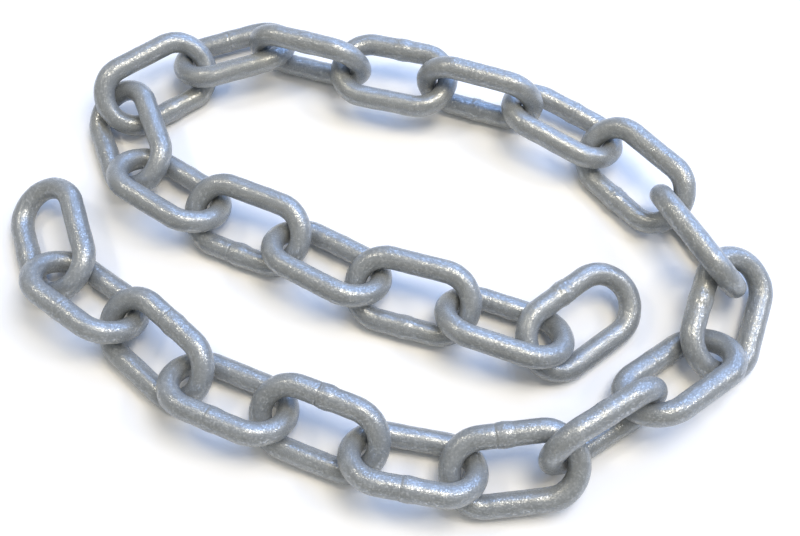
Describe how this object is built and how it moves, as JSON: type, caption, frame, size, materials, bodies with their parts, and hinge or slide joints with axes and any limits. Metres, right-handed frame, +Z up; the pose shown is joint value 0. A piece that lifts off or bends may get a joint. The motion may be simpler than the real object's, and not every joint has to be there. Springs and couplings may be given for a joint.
{
  "type": "length of welded steel chain",
  "caption": "Cut length of galvanized welded steel chain with oval links, lying loose on the floor in an open inward spiral, its links leaning to alternate sides.",
  "frame": {"origin": "on the floor under the middle of the chain's outline", "axes": "+X along the long arms of the spiral, to the right seen from the near side; +Y away from the near side; +Z up"},
  "size_m": [0.1926, 0.1398, 0.022],
  "materials": {
    "galvanized_steel": "hot-dip zinc, grainy and dull with small bright flecks"
  },
  "bodies": {
    "root": {"link_01": "galvanized_steel", "link_02": "galvanized_steel", "link_03": "galvanized_steel", "link_04": "galvanized_steel", "link_05": "galvanized_steel", "link_06": "galvanized_steel", "link_07": "galvanized_steel", "link_08": "galvanized_steel", "link_09": "galvanized_steel", "link_10": "galvanized_steel", "link_11": "galvanized_steel", "link_12": "galvanized_steel", "link_13": "galvanized_steel", "link_14": "galvanized_steel", "link_15": "galvanized_steel", "link_16": "galvanized_steel", "link_17": "galvanized_steel", "link_18": "galvanized_steel", "link_19": "galvanized_steel", "link_20": "galvanized_steel", "link_21": "galvanized_steel", "link_22": "galvanized_steel", "link_23": "galvanized_steel", "link_24": "galvanized_steel", "link_25": "galvanized_steel"}
  },
  "joints": []
}
